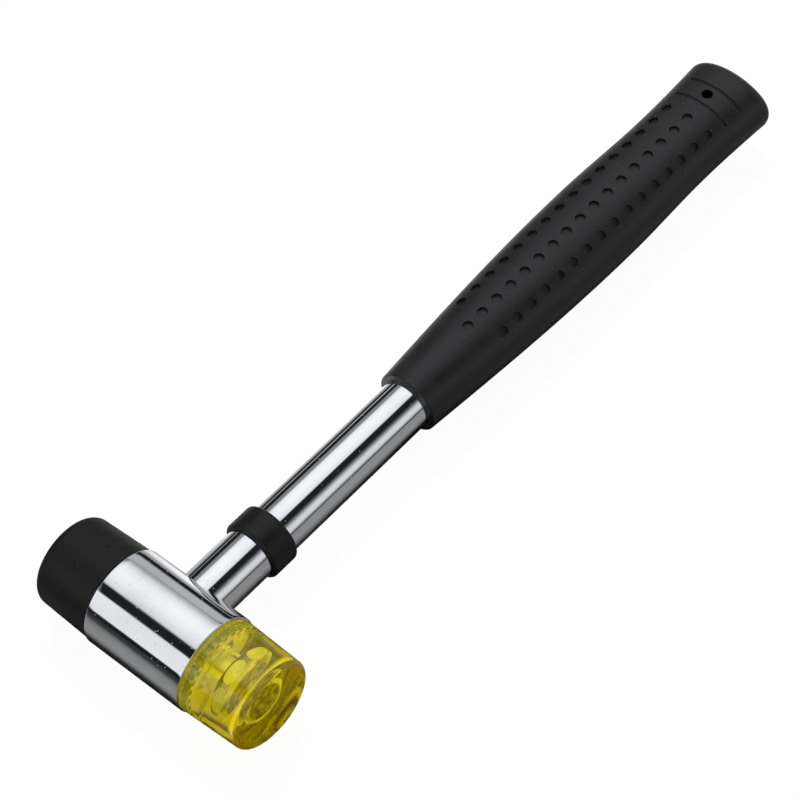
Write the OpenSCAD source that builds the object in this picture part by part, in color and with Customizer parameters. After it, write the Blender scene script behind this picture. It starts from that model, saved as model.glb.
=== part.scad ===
// Soft face hammer: a chromed barrel on a chromed tube handle, with a clear face and a
// rubber face that unscrew, a rubber collar on the tube and a moulded rubber grip.
// Millimetres. The hammer lies on its side: +X runs from the head to the grip,
// the clear face looks along -Y and the rubber face along +Y.

/* [Head barrel] */
// Diameter of the barrel
barrel_d = 30; // [28:0.5:34]
// Length of the barrel between the two faces
barrel_length = 34.5; // [32:0.5:44]
// Rounding of the barrel's rims
barrel_rim_round = 0.6; // [0.4:0.1:2]
// Wall of the barrel left beyond the end of the tube
tube_seat_wall = 5.5; // [4:0.5:8]
// Countersink at the mouth of each bolt hole
bolt_hole_chamfer = 0.5; // [0.2:0.1:1]

/* [Handle tube] */
// Outside diameter of the tube
tube_d = 16; // [14:0.5:17]
// Wall of the tube
tube_wall = 1.2; // [0.8:0.1:2.5]
// Distance from the head's axis to the end of the grip
handle_reach = 250; // [235:1:280]
// Radial gap where the tube is fixed in the barrel and in the grip
tube_fit = 0.02; // [0.01:0.01:0.05]

/* [Collar] */
// Outside diameter of the rubber collar
collar_d = 18.9; // [18.6:0.1:22]
// Length of the collar
collar_length = 9.2; // [8:0.1:16]
// Distance from the head's axis to the collar
collar_from_axis = 32.4; // [24:0.1:60]
// Rounding of the collar's outer edges
collar_round = 1.1; // [0.3:0.1:1.2]
// Radial gap between collar and tube
collar_clearance = 0.05; // [0.02:0.01:0.1]

/* [Grip] */
// Length of the grip
grip_length = 152.2; // [146:0.1:164]
// Diameter at the grip's round mouth
grip_mouth_d = 19.9; // [19:0.1:23]
// Rounding of the mouth's lip
grip_lip_round = 0.4; // [0.2:0.1:1.2]
// Width at the swell of the grip
grip_belly_width = 28.7; // [26:0.1:29.8]
// Thickness at the swell
grip_belly_thick = 20.8; // [20:0.1:25]
// Distance from the mouth to the swell
grip_belly_at = 84.7; // [76:0.1:92]
// Width at the neck behind the swell
grip_neck_width = 26.9; // [24:0.1:28]
// Thickness at the neck
grip_neck_thick = 19.4; // [19.2:0.1:24]
// Distance from the mouth to the neck
grip_neck_at = 120.7; // [112:0.1:126]
// Width of the flared butt
grip_butt_width = 29.3; // [26:0.1:29.8]
// Thickness of the butt
grip_butt_thick = 18.4; // [16:0.1:24]
// Rounding of the butt's edge
grip_butt_round = 3.8; // [1:0.1:6]
// Turn of the grip on the tube towards the clear face, in degrees
grip_turn = 5; // [0:1:20]

/* [Grip pits] */
// Diameter of a pit
pit_d = 3.3; // [2:0.1:4]
// Depth of a pit
pit_depth = 1; // [0.4:0.1:1.1]
// Distance between pits along a row
pit_pitch = 6.3; // [5.5:0.05:6.4]
// Pits in the middle row of each side
pit_count = 17; // [8:1:17]
// Distance from the mouth to the first pit of the middle row
pit_first = 26.1; // [20:0.1:27]
// Distance between the middle row and the rows beside it
pit_row_offset = 7.85; // [6:0.05:9]
// Lean of the pits beside the middle row, in degrees
pit_lean = 34; // [20:1:45]

/* [Hang hole] */
// Diameter of the hang hole
hang_hole_d = 3.6; // [2:0.1:5]
// Distance from the end of the grip to the hang hole
hang_hole_inset = 14; // [12:0.1:17]
// Distance from the grip's middle line to the hang hole, towards the rubber face
hang_hole_side = 1.3; // [0:0.1:3]
// Rubber between the end of the tube and the hang hole
hang_hole_wall = 5; // [3:0.5:10]
// Distance from the end of the grip to the middle between the two grooves
groove_inset = 14.4; // [12:0.1:17]
// Distance between the two grooves
groove_spacing = 7.4; // [6:0.1:9]
// Width of a groove
groove_width = 1; // [0.6:0.1:1.4]
// Length of a groove across the grip
groove_across = 19; // [12:0.5:21]
// Depth of a groove
groove_depth = 0.5; // [0.2:0.1:0.8]

/* [Faces] */
// Diameter of a face next to the barrel
face_base_d = 29.2; // [27.5:0.1:29.8]
// Diameter of a face at its striking end
face_end_d = 27.9; // [26:0.1:29]
// Length of a face
face_length = 20.4; // [17:0.1:26]
// Gap between the rim of a face and the barrel
face_gap = 0.25; // [0.1:0.05:0.5]
// Rounding of the clear face's striking edge
clear_edge_round = 1.7; // [0.5:0.1:4]
// Rounding of the rubber face's striking edge
rubber_edge_round = 3; // [1:0.1:5]

/* [Bolts] */
// Diameter of the bolts' shank
bolt_d = 8; // [6:0.5:9]
// Hexagon head, across flats
bolt_head_af = 14; // [12:0.5:17]
// Height of the hexagon head
bolt_head_height = 5.2; // [4:0.1:6.5]
// Height of the head's bevel at its corners
bolt_head_bevel = 1.3; // [0.3:0.1:1.5]
// Depth of the dish in the head's top
bolt_dish_depth = 0.6; // [0.3:0.1:1.2]
// Diameter of the dish
bolt_dish_d = 11; // [4:0.1:11.2]
// Distance from the barrel to the underside of the head
bolt_head_set = 7.2; // [5:0.1:9]
// Gap between the tip of a bolt and the tube
bolt_tip_gap = 0.45; // [0.3:0.05:2]
// Bevel of the bolt's tip
bolt_tip_bevel = 1; // [0.3:0.1:1.5]
// Radial gap between bolt and barrel
bolt_clearance = 0.05; // [0.02:0.01:0.1]
// Turn of the clear face's bolt head, in degrees
clear_bolt_turn = 16; // [0:1:59]

/* [Washers] */
// Diameter over the washer's teeth
washer_d = 22; // [18:0.5:24]
// Thickness of the washer
washer_thickness = 2.5; // [1:0.1:3]
// Number of teeth round the washer
washer_teeth = 24; // [12:1:30]
// Depth of the teeth
washer_tooth_depth = 1.2; // [0.6:0.1:1.6]
// Part of the tooth pitch that a tooth fills at its tip
washer_tip_share = 0.45; // [0.3:0.05:0.6]
// Part of the tooth pitch that a tooth fills at its root
washer_root_share = 0.7; // [0.6:0.05:0.85]
// Radial gap between washer and bolt
washer_clearance = 0.08; // [0.03:0.01:0.1]
// Radial gap between the washer's teeth and the face
recess_clearance = 0.3; // [0.2:0.05:0.6]

/* [Hidden] */

$fn = 64;
barrel_r = barrel_d / 2;
barrel_end = barrel_length / 2;
tube_r = tube_d / 2;
tube_start = -(barrel_r - tube_seat_wall);
grip_start = handle_reach - grip_length;
hang_hole_at = grip_length - hang_hole_inset;
tube_end = grip_start + hang_hole_at - hang_hole_d / 2 - hang_hole_wall;
// The widest piece sets the height at which the hammer lies
lie_r = max(barrel_d, face_base_d, grip_belly_width, grip_butt_width) / 2;
mid_x = (handle_reach - barrel_r) / 2;
bolt_engaged = barrel_end - tube_r - bolt_tip_gap;
bolt_head_r = bolt_head_af / 2 / cos(30);
recess_depth = washer_thickness - face_gap;
arc_steps = 8;
lip_steps = 3;
grip_steps = 30;
grip_sides = 48;
past = 1;

// Points of a quarter round from angle 0 to 90 about a centre
function quarter(cx, cy, r, from = 0) =
    [for (i = [0 : arc_steps]) [cx + r * cos(from + 90 * i / arc_steps),
                                cy + r * sin(from + 90 * i / arc_steps)]];

// Size of the grip at a distance from its mouth: it swells, draws in and flares
function swell(u, mouth, belly, neck, butt) =
    u < grip_belly_at
        ? mouth + (belly - mouth) * sin(90 * u / grip_belly_at)
    : u < grip_neck_at
        ? (belly + neck + (belly - neck)
            * cos(180 * (u - grip_belly_at) / (grip_neck_at - grip_belly_at))) / 2
    : neck + (butt - neck) * (1 - cos(90 * (u - grip_neck_at) / (grip_length - grip_neck_at)));

function half_width(u) = swell(u, grip_mouth_d, grip_belly_width, grip_neck_width, grip_butt_width) / 2;

function half_thick(u) = swell(u, grip_mouth_d, grip_belly_thick, grip_neck_thick, grip_butt_thick) / 2;

// Oval round the grip at a distance from its mouth, drawn in by an inset
function oval(u, inset) =
    [for (i = [0 : grip_sides - 1]) let (angle = 360 * i / grip_sides)
        [u, (half_width(u) - inset) * cos(angle), (half_thick(u) - inset) * sin(angle)]];

// Moves the crossing of head and handle to its place above the table
module lie() {
    translate([-mid_x, 0, lie_r]) children();
}

// Turns an axis drawn along +Z to the clear side (-1) or the rubber side (1) of the head
module head_side(side) {
    rotate([-90 * side, 0, 0]) children();
}

// Turns an axis drawn along +Z to the handle
module along_handle() {
    rotate([0, 90, 0]) children();
}

module head_barrel() {
    rim = barrel_rim_round;
    profile = concat(
        [[0, -barrel_end]],
        quarter(barrel_r - rim, -barrel_end + rim, rim, -90),
        quarter(barrel_r - rim, barrel_end - rim, rim),
        [[0, barrel_end]]);
    hole_r = bolt_d / 2 + bolt_clearance;
    color("silver") lie() difference() {
        head_side(1) rotate_extrude() polygon(profile);
        translate([tube_start, 0, 0]) along_handle()
            cylinder(r = tube_r + tube_fit, h = barrel_r - tube_start + past);
        head_side(1) cylinder(r = hole_r, h = barrel_length + 2 * past, center = true);
        for (side = [-1, 1])
            head_side(side) translate([0, 0, barrel_end - bolt_hole_chamfer])
                cylinder(r1 = hole_r, r2 = hole_r + bolt_hole_chamfer, h = bolt_hole_chamfer);
    }
}

module handle_tube() {
    color("silver") lie() translate([tube_start, 0, 0]) along_handle() difference() {
        cylinder(r = tube_r, h = tube_end - tube_start);
        translate([0, 0, -past]) cylinder(r = tube_r - tube_wall, h = tube_end - tube_start + 2 * past);
    }
}

module tube_collar() {
    outer = collar_d / 2;
    inner = tube_r + collar_clearance;
    profile = concat(
        [[inner, 0]],
        quarter(outer - collar_round, collar_round, collar_round, -90),
        quarter(outer - collar_round, collar_length - collar_round, collar_round),
        [[inner, collar_length]]);
    color("#161616") lie() translate([collar_from_axis, 0, 0]) along_handle()
        rotate_extrude() polygon(profile);
}

// Skin through ovals, each given by its distance from the mouth and its inset
module oval_skin(stations) {
    last = len(stations) - 1;
    sides = [for (k = [0 : last - 1], i = [0 : grip_sides - 1])
        let (here = k * grip_sides, next = here + grip_sides, j = (i + 1) % grip_sides)
        each [[here + i, next + i, next + j], [here + i, next + j, here + j]]];
    mouth = [[for (i = [0 : grip_sides - 1]) i]];
    butt = [[for (i = [grip_sides - 1 : -1 : 0]) last * grip_sides + i]];
    polyhedron([for (station = stations) each oval(station[0], station[1])], concat(sides, mouth, butt));
}

module grip_body() {
    lip = grip_lip_round;
    butt = grip_butt_round;
    swell_end = grip_length - butt;
    lip_turns = [for (i = [0 : lip_steps]) 90 * i / lip_steps];
    butt_turns = [for (i = [1 : arc_steps]) 90 * i / arc_steps];
    oval_skin(concat(
        [for (turn = lip_turns) [lip * (1 - cos(turn)), lip * (1 - sin(turn))]],
        [for (i = [1 : grip_steps]) [lip + (swell_end - lip) * i / grip_steps, 0]],
        [for (turn = butt_turns) [swell_end + butt * sin(turn), butt * (1 - cos(turn))]]));
}

// One round pit at a distance from the mouth, in the middle row (0) or a row beside it (-1, 1)
module pit(u, row) {
    across = row * pit_row_offset;
    height = half_thick(u) * sqrt(1 - pow(across / half_width(u), 2));
    translate([u, -across, height]) rotate([row * pit_lean, 0, 0]) translate([0, 0, -pit_depth])
        cylinder(d = pit_d, h = pit_depth + past, $fn = 32);
}

// Three rows of pits on one side: the rows beside the middle one start a pitch later
module pit_rows() {
    for (row = [-1 : 1], i = [abs(row) : pit_count - 1])
        pit(pit_first + i * pit_pitch, row);
}

// Groove of even depth across one side of the grip
module groove(u) {
    low = u - groove_width / 2;
    high = u + groove_width / 2;
    difference() {
        translate([low, -groove_across / 2, 0])
            cube([groove_width, groove_across, half_thick(u) + past]);
        oval_skin([[low - past, groove_depth], [high + past, groove_depth]]);
    }
}

module grip() {
    bore_length = tube_end - grip_start;
    color("#1b1b1b") lie() translate([grip_start, 0, 0]) rotate([grip_turn, 0, 0]) difference() {
        grip_body();
        translate([-past, 0, 0]) along_handle() cylinder(r = tube_r + tube_fit, h = bore_length + past);
        for (half = [0, 180]) rotate([half, 0, 0]) {
            pit_rows();
            for (side = [-1, 1]) groove(grip_length - groove_inset + side * groove_spacing / 2);
        }
        translate([hang_hole_at, hang_hole_side, 0])
            cylinder(d = hang_hole_d, h = 2 * grip_butt_thick, center = true);
    }
}

// Hexagon bolt drawn along +Z, with the barrel's end face at zero
module bolt_solid() {
    bevel = bolt_head_bevel;
    head_top = bolt_head_set + bolt_head_height;
    flat_r = bolt_head_r - bevel / tan(30);
    difference() {
        union() {
            translate([0, 0, -bolt_engaged + bolt_tip_bevel])
                cylinder(d = bolt_d, h = bolt_engaged - bolt_tip_bevel + bolt_head_set);
            translate([0, 0, -bolt_engaged])
                cylinder(d1 = bolt_d - 2 * bolt_tip_bevel, d2 = bolt_d, h = bolt_tip_bevel);
            intersection() {
                translate([0, 0, bolt_head_set]) cylinder(r = bolt_head_r, h = bolt_head_height, $fn = 6);
                rotate_extrude() polygon([
                    [0, bolt_head_set],
                    [flat_r, bolt_head_set],
                    [bolt_head_r, bolt_head_set + bevel],
                    [bolt_head_r, head_top - bevel],
                    [flat_r, head_top],
                    [0, head_top]]);
            }
        }
        translate([0, 0, head_top - bolt_dish_depth])
            cylinder(d1 = bolt_dish_d - 2 * bolt_dish_depth, d2 = bolt_dish_d, h = bolt_dish_depth);
    }
}

// Toothed washer drawn along +Z from the barrel's end face
module washer_solid() {
    tip = washer_d / 2;
    root = tip - washer_tooth_depth;
    step = 360 / washer_teeth;
    tip_half = washer_tip_share / 2;
    root_half = washer_root_share / 2;
    corners = [[root, -root_half], [tip, -tip_half], [tip, tip_half], [root, root_half]];
    outline = [for (i = [0 : washer_teeth - 1], corner = corners)
        corner[0] * [cos((i + corner[1]) * step), sin((i + corner[1]) * step)]];
    linear_extrude(washer_thickness) difference() {
        polygon(outline);
        circle(r = bolt_d / 2 + washer_clearance);
    }
}

// Tapered face drawn along +Z from the barrel's end face, moulded round its bolt
module face_solid(edge_round, bolt_turn) {
    top = face_gap + face_length;
    end_r = face_end_d / 2;
    profile = concat(
        [[0, face_gap], [face_base_d / 2, face_gap]],
        quarter(end_r - edge_round, top - edge_round, edge_round),
        [[0, top]]);
    difference() {
        rotate_extrude() polygon(profile);
        translate([0, 0, -past]) cylinder(r = washer_d / 2 + recess_clearance, h = washer_thickness + past);
        rotate([0, 0, bolt_turn]) bolt_solid();
    }
}

// Places a piece of the clear side or the rubber side at the barrel's end
module at_end(side) {
    lie() head_side(side) translate([0, 0, barrel_end]) children();
}

module clear_face() {
    color("#d8c81e", 0.6) at_end(-1) face_solid(clear_edge_round, clear_bolt_turn);
}

module clear_face_bolt() {
    color("gainsboro") at_end(-1) rotate([0, 0, clear_bolt_turn]) bolt_solid();
}

module clear_face_washer() {
    color("lightgray") at_end(-1) washer_solid();
}

module rubber_face() {
    color("#1d1a1a") at_end(1) face_solid(rubber_edge_round, 0);
}

module rubber_face_bolt() {
    color("gainsboro") at_end(1) bolt_solid();
}

module rubber_face_washer() {
    color("lightgray") at_end(1) washer_solid();
}

head_barrel();
handle_tube();
grip();
tube_collar();
clear_face();
clear_face_bolt();
clear_face_washer();
rubber_face();
rubber_face_bolt();
rubber_face_washer();
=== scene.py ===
import math

import bpy
from mathutils import Matrix, Vector


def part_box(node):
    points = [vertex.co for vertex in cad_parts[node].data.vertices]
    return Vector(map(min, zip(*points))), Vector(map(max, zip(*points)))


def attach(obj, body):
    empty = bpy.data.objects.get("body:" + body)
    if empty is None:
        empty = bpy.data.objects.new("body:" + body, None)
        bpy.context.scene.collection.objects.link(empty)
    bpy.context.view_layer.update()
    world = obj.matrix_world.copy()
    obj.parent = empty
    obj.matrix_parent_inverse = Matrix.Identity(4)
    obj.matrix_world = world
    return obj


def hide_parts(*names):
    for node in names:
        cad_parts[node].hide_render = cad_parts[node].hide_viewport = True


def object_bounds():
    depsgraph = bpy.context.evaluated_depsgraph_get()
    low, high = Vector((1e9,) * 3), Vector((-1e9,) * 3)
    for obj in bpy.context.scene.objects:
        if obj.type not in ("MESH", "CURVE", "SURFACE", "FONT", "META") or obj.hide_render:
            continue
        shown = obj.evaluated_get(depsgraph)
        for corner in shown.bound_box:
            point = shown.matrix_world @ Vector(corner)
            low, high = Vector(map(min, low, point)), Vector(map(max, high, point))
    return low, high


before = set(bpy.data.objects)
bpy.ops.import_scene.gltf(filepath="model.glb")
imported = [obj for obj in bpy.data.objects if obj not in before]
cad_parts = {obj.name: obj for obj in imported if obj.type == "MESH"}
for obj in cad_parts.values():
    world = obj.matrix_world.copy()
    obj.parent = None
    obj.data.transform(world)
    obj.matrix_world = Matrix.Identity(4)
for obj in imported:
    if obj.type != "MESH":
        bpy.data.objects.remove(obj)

# Looks of a soft face hammer that lies on its side. Metres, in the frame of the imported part:
# +X runs from the head to the grip, the clear face looks along -Y, the rubber face along +Y.

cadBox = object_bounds()
mm = 0.001
fullTurn = 2 * math.pi
quarterTurn = math.pi / 2
mergeGap = 0.0005 * mm


# Shader maths on sockets

def plug(tree, socket, value):
    if isinstance(value, Wire):
        tree.links.new(value.socket, socket)
    elif value is not None:
        socket.default_value = value


class Wire:
    def __init__(self, tree, socket):
        self.tree = tree
        self.socket = socket

    def math(self, operation, other=None, swapped=False):
        node = self.tree.nodes.new("ShaderNodeMath")
        node.operation = operation
        values = [other, self] if swapped else [self, other]
        for socket, value in zip(node.inputs, values):
            plug(self.tree, socket, value)
        return Wire(self.tree, node.outputs[0])

    def __add__(self, other):
        return self.math("ADD", other)

    def __radd__(self, other):
        return self.math("ADD", other, True)

    def __sub__(self, other):
        return self.math("SUBTRACT", other)

    def __rsub__(self, other):
        return self.math("SUBTRACT", other, True)

    def __mul__(self, other):
        return self.math("MULTIPLY", other)

    def __rmul__(self, other):
        return self.math("MULTIPLY", other, True)

    def __truediv__(self, other):
        return self.math("DIVIDE", other)

    def __rtruediv__(self, other):
        return self.math("DIVIDE", other, True)


def lengthOf(first, second):
    return (first * first + second * second).math("SQRT")


class Finish:
    def __init__(self, owner):
        owner.use_nodes = True
        self.tree = owner.node_tree
        self.tree.nodes.clear()

    # Any node: its settings are set first, then its sockets by name or number
    def add(self, kind, settings=None, sockets=None, output=0):
        node = self.tree.nodes.new(kind)
        for key, value in (settings or {}).items():
            setattr(node, key, value)
        for key, value in (sockets or {}).items():
            plug(self.tree, node.inputs[key], value)
        return Wire(self.tree, node.outputs[output])

    def place(self):
        return self.add("ShaderNodeTexCoord", output="Object")

    def split(self, vector):
        return [self.add("ShaderNodeSeparateXYZ", None, {0: vector}, axis) for axis in range(3)]

    def stretched(self, place, scale):
        return self.add("ShaderNodeMapping", None, {"Vector": place, "Scale": scale})

    # 1 on one kind of ray: Camera, Glossy or Transmission
    def ray(self, kind):
        return self.add("ShaderNodeLightPath", output="Is " + kind + " Ray")

    def noise(self, place, scale, detail=2.0, rough=0.5):
        sockets = {"Vector": place, "Scale": scale, "Detail": detail, "Roughness": rough}
        return self.add("ShaderNodeTexNoise", None, sockets)

    def cells(self, place, scale):
        return self.add("ShaderNodeTexVoronoi", None, {"Vector": place, "Scale": scale}, "Distance")

    # 0 below low, 1 above high, eased between them; low may be the larger one
    def ease(self, value, low, high):
        sockets = {"Value": value, "From Min": low, "From Max": high}
        return self.add("ShaderNodeMapRange", {"interpolation_type": "SMOOTHSTEP"}, sockets)

    # The same, with both ends counted from a level
    def slope(self, value, level, ends):
        return self.ease(value, level + ends[0], level + ends[1])

    # 1 between a rising and a falling slope
    def window(self, value, slopes):
        rise, fall = slopes
        return self.ease(value, *rise) * self.ease(value, *fall)

    # 1 between low and high, with edges of one softness
    def band(self, value, low, high, soft):
        return self.slope(value, low, (-soft, soft)) * self.slope(value, high, (soft, -soft))

    def blendColours(self, mask, first, second):
        return self.add("ShaderNodeMix", {"data_type": "RGBA"}, {0: mask, 6: first, 7: second}, 2)

    def bump(self, height, distance, under=None):
        return self.add("ShaderNodeBump", None, {"Height": height, "Distance": distance, "Normal": under})

    def close(self, kind, shader, volume=None):
        output = self.tree.nodes.new(kind)
        plug(self.tree, output.inputs["Surface"], shader)
        plug(self.tree, output.inputs["Volume"], volume)


def newFinish(name):
    material = bpy.data.materials.new(name)
    return material, Finish(material)


def grey(level):
    return (level, level, level, 1)


# Modelling helpers

def toObjectMode():
    if bpy.context.object and bpy.context.object.mode != "OBJECT":
        bpy.ops.object.mode_set(mode="OBJECT")


def dropSelection():
    toObjectMode()
    bpy.ops.object.select_all(action="DESELECT")


def pick(piece):
    dropSelection()
    piece.select_set(True)
    bpy.context.view_layer.objects.active = piece


def rename(piece, name):
    piece.name = name
    piece.data.name = name


# Extrudes one vertex from spot to spot, and leaves the line selected in edit mode
def drawLine(name, spots):
    dropSelection()
    bpy.ops.mesh.primitive_plane_add(size=mm)
    piece = bpy.context.object
    rename(piece, name)
    bpy.ops.object.mode_set(mode="EDIT")
    bpy.ops.mesh.select_all(action="SELECT")
    bpy.ops.mesh.merge(type="CENTER")
    bpy.ops.transform.translate(value=spots[0])
    for here, there in zip(spots, spots[1:]):
        bpy.ops.mesh.extrude_vertices_move(TRANSFORM_OT_translate={"value": there - here})
    bpy.ops.mesh.select_all(action="SELECT")
    return piece


# Draws (radius, height) points in the XZ plane
def drawOutline(name, outline):
    return drawLine(name, [Vector((radius, 0, height)) for radius, height in outline])


def cleanMesh():
    bpy.ops.mesh.select_all(action="SELECT")
    bpy.ops.mesh.remove_doubles(threshold=mergeGap)
    bpy.ops.mesh.normals_make_consistent(inside=False)
    bpy.ops.object.mode_set(mode="OBJECT")


# Turns an outline round the Z axis
def spinOutline(name, outline, steps):
    piece = drawOutline(name, outline)
    bpy.ops.mesh.spin(steps=steps, angle=fullTurn, center=(0, 0, 0), axis=(0, 0, 1))
    cleanMesh()
    return piece


def drillBit(radius, low, high, steps):
    return spinOutline("drill", [(0, low), (radius, low), (radius, high), (0, high)], steps)


# Points of a quarter round from an angle on, with both its ends
def arc(centre, radius, start, steps=6):
    angles = [start + quarterTurn * i / steps for i in range(steps + 1)]
    return [(centre[0] + radius * math.cos(a), centre[1] + radius * math.sin(a)) for a in angles]


# A long stretch of an outline cut into short pieces, without its ends
def stretch(low, high, count, radiusAt):
    heights = [low + (high - low) * i / count for i in range(1, count)]
    return [(radiusAt(height), height) for height in heights]


def combine(piece, tool, operation):
    pick(piece)
    modifier = piece.modifiers.new("combine", "BOOLEAN")
    modifier.operation = operation
    modifier.solver = "EXACT"
    modifier.object = tool
    bpy.ops.object.modifier_apply(modifier="combine")
    bpy.data.objects.remove(tool)


def copyPiece(piece, name, matrix):
    twin = piece.copy()
    twin.data = piece.data.copy()
    rename(twin, name)
    twin.data.transform(matrix)
    bpy.context.scene.collection.objects.link(twin)
    return twin


def joinPieces(pieces):
    pick(pieces[0])
    for piece in pieces:
        piece.select_set(True)
    bpy.ops.object.join()
    return pieces[0]


# Moves a piece that was modelled along +Z to its place, and puts the place into its mesh
def seat(piece, matrix):
    pick(piece)
    piece.matrix_world = matrix
    bpy.ops.object.transform_apply(location=True, rotation=True, scale=True)


# Edges sharper than sharpAngle, in degrees, stay crisp
def dress(piece, material, body, node, sharpAngle):
    pick(piece)
    bpy.ops.object.shade_smooth_by_angle(angle=math.radians(sharpAngle))
    piece.data.materials.clear()
    piece.data.materials.append(material)
    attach(piece, body)
    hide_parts(node)
    print(piece.name, "has", len(piece.data.polygons), "faces")


# Places of the frame that the pieces share

barrelLow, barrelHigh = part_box("head_barrel")
tubeLow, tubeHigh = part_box("handle_tube")
gripLow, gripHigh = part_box("grip")
collarLow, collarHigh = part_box("tube_collar")
headCentre = (barrelLow + barrelHigh) / 2
barrelRadius = (barrelHigh.x - barrelLow.x) / 2
barrelEnd = (barrelHigh.y - barrelLow.y) / 2
tubeRadius = (tubeHigh.z - tubeLow.z) / 2
toHandle = Matrix.Translation(headCentre) @ Matrix.Rotation(quarterTurn, 4, "Y")


# Turns +Z to the clear side (-1) or the rubber side (1), with zero at the barrel's end
def toHeadSide(side):
    turn = Matrix.Rotation(-quarterTurn * side, 4, "X")
    return Matrix.Translation(headCentre) @ turn @ Matrix.Translation((0, 0, barrelEnd))


# Camera

camera = {
    "place": (-0.38793, -0.36473, 0.70705),
    "right": (0.65522, -0.75368, -0.05151),
    "up": (0.62458, 0.50211, 0.59815),
    "back": (-0.42495, -0.42409, 0.79973),
    "lens": 138.02,
}


def addCamera():
    data = bpy.data.cameras.new("camera")
    data.lens = camera["lens"]
    eye = bpy.data.objects.new("camera", data)
    axes = [Vector(camera[key]) for key in ("right", "up", "back")]
    eye.matrix_world = Matrix.Translation(camera["place"]) @ Matrix(axes).transposed().to_4x4()
    bpy.context.scene.collection.objects.link(eye)
    bpy.context.scene.camera = eye


# Studio: a large overhead softbox, pale walls on the camera's side, dim ones behind, dark gaps between.
# Across and along are x and y over height, as on a ceiling, and a foot is a slope in height alone

studio = {
    "boxColour": (0.95, 0.975, 1.0, 1), "boxAcross": (-0.37, 1.50), "boxAlong": (-0.34, 0.93),
    "boxSoft": 0.06, "boxFarSoft": 0.20,
    "boxCentre": (0.36, 0.30), "boxLevel": 1.10, "boxFall": 0.62, "boxLeast": 0.55, "boxFill": 0.35,
    "sideAt": 0.90, "sideSoft": (-0.07, 0.07), "sideFoot": (0.09, 0.14), "sideLevel": 0.92,
    "frontAlong": (0.72, 2.1), "frontFoot": (-0.05, 0.25), "frontLevel": 0.78, "wallFill": 0.15,
    "backAt": 1.68, "backSoft": (-0.1, 0.1), "backFoot": (0.10, 0.22), "backLevel": 0.50,
    "farAlong": (0.85, 2.5), "farLevel": 0.46, "shelfAlong": (0.80, 1.60), "shelfLevel": 0.26,
    "bandSoft": 0.15, "shelfEnd": 1.4, "farSide": (-0.1, 0.1), "shelfSide": (0.1, -0.1),
    "gapLevel": 0.015, "horizon": (0.0, 0.02), "leastHeight": 0.001,
    "throughShare": 0.45,
}


def buildWorld():
    world = bpy.data.worlds.new("studio")
    bpy.context.scene.world = world
    look = Finish(world)
    dx, dy, dz = look.split(look.add("ShaderNodeTexCoord", output="Generated"))
    height = dz.math("MAXIMUM", studio["leastHeight"])
    across, along = dx / height, dy / height
    mirrored = look.ray("Glossy")

    # Full on mirrored rays, and a share on those that only fill
    def filling(share):
        return share + (1 - share) * mirrored

    soft, farSoft = studio["boxSoft"], studio["boxFarSoft"]
    near, far = studio["boxAlong"]
    box = look.band(across, *studio["boxAcross"], soft)
    box = box * look.slope(along, near, (-soft, soft)) * look.slope(along, far, (farSoft, -farSoft))
    offAcross, offAlong = across - studio["boxCentre"][0], along - studio["boxCentre"][1]
    level = studio["boxLevel"] - studio["boxFall"] * (offAcross * offAcross + offAlong * offAlong)
    light = box * level.math("MAXIMUM", studio["boxLeast"]) * filling(studio["boxFill"])

    side = look.slope(-1 * across, studio["sideAt"], studio["sideSoft"]) * studio["sideLevel"]
    side = side * look.ease(dz, *studio["sideFoot"]) * filling(studio["wallFill"])
    front = look.ease(-1 * along, *studio["frontAlong"]) * studio["frontLevel"]
    front = front * look.ease(dz, *studio["frontFoot"]) * filling(studio["wallFill"])
    back = look.slope(across, studio["backAt"], studio["backSoft"]) * studio["backLevel"]
    back = back * look.ease(dz, *studio["backFoot"])
    farWall = look.band(along, *studio["farAlong"], studio["bandSoft"]) * studio["farLevel"]
    farWall = farWall * look.slope(across, studio["shelfEnd"], studio["farSide"])
    shelf = look.band(along, *studio["shelfAlong"], studio["bandSoft"]) * studio["shelfLevel"]
    shelf = shelf * look.slope(across, studio["shelfEnd"], studio["shelfSide"])
    for part in (side, front, back, farWall, shelf, studio["gapLevel"]):
        light = light.math("MAXIMUM", part)
    light = light * look.ease(dz, *studio["horizon"])

    # The camera sees white, and rays through the clear face a share of it
    white = look.ray("Camera").math("MAXIMUM", look.ray("Transmission") * studio["throughShare"])
    colour = look.blendColours(white, studio["boxColour"], grey(1))
    strength = light + white * (1 - light)
    look.close("ShaderNodeOutputWorld", look.add("ShaderNodeBackground", None, {0: colour, 1: strength}))


# Floor. The sheet's pairs are its edges. Any other pair is where a slope starts and ends, two such pairs
# are a window, and ahead is counted from the head's axis

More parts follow.
